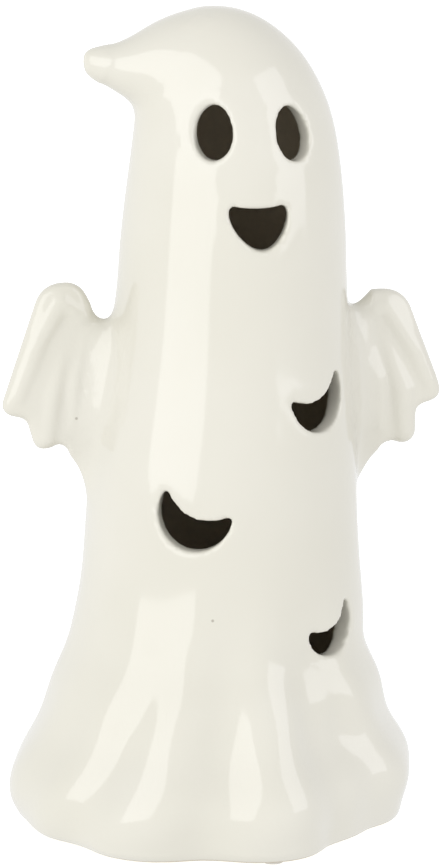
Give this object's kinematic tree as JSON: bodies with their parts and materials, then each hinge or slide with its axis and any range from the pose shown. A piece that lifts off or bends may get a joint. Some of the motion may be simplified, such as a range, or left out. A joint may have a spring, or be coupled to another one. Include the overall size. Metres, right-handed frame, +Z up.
{
  "type": "ceramic ghost lantern",
  "caption": "Hollow glazed ceramic ghost with bat wings, cut-out face and crescent moons, lit by a battery lamp that plugs into its foot.",
  "frame": {"origin": "middle of the footprint on the table", "axes": "+Z up through the figure, the face looks along -Y, +X to the viewer's right"},
  "size_m": [0.0979, 0.0903, 0.18],
  "materials": {
    "glaze": "glossy warm white glaze",
    "soft_foot": "matt soft pad",
    "lamp_plastic": "fine-grained moulded plastic",
    "screw_steel": "zinc-plated",
    "silicone": "matt silicone",
    "frosted_plastic": "frosted translucent",
    "board": "green solder mask",
    "led_resin": "clear resin, unlit",
    "tinned_wire": "tinned",
    "resistor_coat": "lacquered",
    "chip_resin": "moulded resin",
    "cell_jacket": "printed film over a metal can",
    "contact_plate": "nickel-plated",
    "spring_wire": "nickel-plated",
    "switch_plastic": "moulded plastic",
    "terminal_brass": "tinned brass",
    "red_insulation": "soft vinyl",
    "black_insulation": "soft vinyl",
    "yellow_insulation": "soft vinyl"
  },
  "bodies": {
    "figure": {"ceramic_body": "glaze", "foot_pads": "soft_foot"},
    "lamp": {"base_cover": "lamp_plastic", "cover_screws": "screw_steel", "lamp_housing": "lamp_plastic", "grip_ring": "silicone", "light_diffuser": "frosted_plastic", "circuit_board": "board", "board_screws": "screw_steel", "led": "led_resin", "led_leads": "tinned_wire", "resistor": "resistor_coat", "timer_chip": "chip_resin", "battery_cells": "cell_jacket", "positive_contact": "contact_plate", "negative_contact": "contact_plate", "bridge_contact": "contact_plate", "contact_springs": "spring_wire", "switch_case": "switch_plastic", "switch_terminals": "terminal_brass", "red_wire": "red_insulation", "black_wire": "black_insulation", "switch_wire": "yellow_insulation"},
    "door": {"battery_door": "lamp_plastic"},
    "slider": {"switch_slider": "switch_plastic"}
  },
  "joints": [
    {"name": "lamp_out", "type": "slide", "parent": "figure", "child": "lamp", "axis": [0, 0, -1], "range_m": [0, 0.05]},
    {"name": "door_hinge", "type": "hinge", "parent": "lamp", "child": "door", "pos_m": [0, -0.0145, 0.0042], "axis": [-1, 0, 0], "range_deg": [0, 95]},
    {"name": "switch_slide", "type": "slide", "parent": "lamp", "child": "slider", "axis": [1, 0, 0], "range_m": [0, 0.002]}
  ]
}
